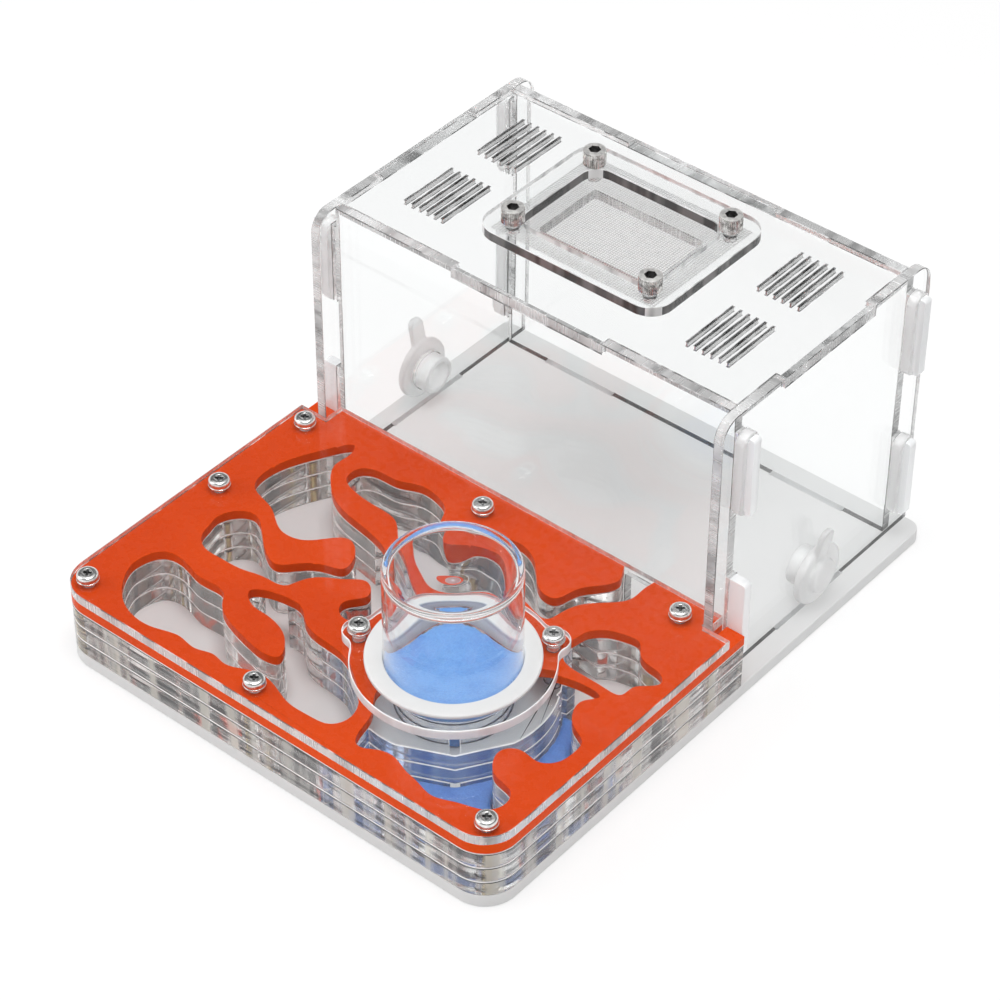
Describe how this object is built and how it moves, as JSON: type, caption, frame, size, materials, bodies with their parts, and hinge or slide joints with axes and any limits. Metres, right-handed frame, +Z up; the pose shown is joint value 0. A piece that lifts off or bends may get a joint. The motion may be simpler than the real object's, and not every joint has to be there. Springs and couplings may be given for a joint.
{
  "type": "ant habitat",
  "caption": "Ant habitat of clear sheet: a layered nest with an orange frame and a water tower, joined to a box arena with a mesh hatch and two plugged ports.",
  "frame": {"origin": "middle of the base plate's underside", "axes": "+X along the nest's long side to the right of somebody facing the nest, +Y from the nest to the arena, +Z up"},
  "size_m": [0.15, 0.187, 0.1012],
  "materials": {
    "opal_white": "white opal sheet, satin",
    "clear_sheet": "clear acrylic sheet, polished faces, sawn edges",
    "clear_tube": "clear acrylic tube and discs",
    "orange_sheet": "orange acrylic sheet, glossy",
    "silicone": "translucent white silicone",
    "blue_sponge": "fine open-celled sponge, damp",
    "steel": "zinc-plated pan-head screws and washers",
    "brass": "knurled threaded inserts",
    "nickel": "nickelled knurled socket-head screws",
    "mesh": "fine woven stainless mesh"
  },
  "bodies": {
    "root": {"base_plate": "opal_white", "layer_lower": "clear_sheet", "layer_middle": "clear_sheet", "layer_upper": "clear_sheet", "nest_frame": "orange_sheet", "nest_cover": "clear_sheet", "nest_inserts": "brass", "nest_screws": "steel", "nest_washers": "steel", "tower_screws": "steel", "tower_washers": "steel", "tower_flange": "clear_tube", "tower_gasket": "silicone", "tower_sponge": "blue_sponge", "chamber_sponge": "blue_sponge", "arena_left": "clear_sheet", "arena_right": "clear_sheet", "arena_front": "clear_sheet", "arena_back": "clear_sheet", "arena_roof": "clear_sheet", "lock_rings": "silicone"},
    "tower": {"tower_tube": "clear_tube", "tower_lid": "clear_tube"},
    "hatch": {"hatch_plate": "clear_sheet", "hatch_mesh": "mesh", "hatch_screws": "nickel"},
    "left_plug": {"plug_left": "silicone"},
    "right_plug": {"plug_right": "silicone"}
  },
  "joints": [
    {"name": "tower_pull", "type": "slide", "parent": "root", "child": "tower", "axis": [0, 0, 1], "range_m": [0, 0.035]},
    {"name": "hatch_lift", "type": "slide", "parent": "root", "child": "hatch", "axis": [0, 0, 1], "range_m": [0, 0.03]},
    {"name": "left_plug_pull", "type": "slide", "parent": "root", "child": "left_plug", "axis": [-1, 0, 0], "range_m": [0, 0.025]},
    {"name": "right_plug_pull", "type": "slide", "parent": "root", "child": "right_plug", "axis": [1, 0, 0], "range_m": [0, 0.025]}
  ]
}
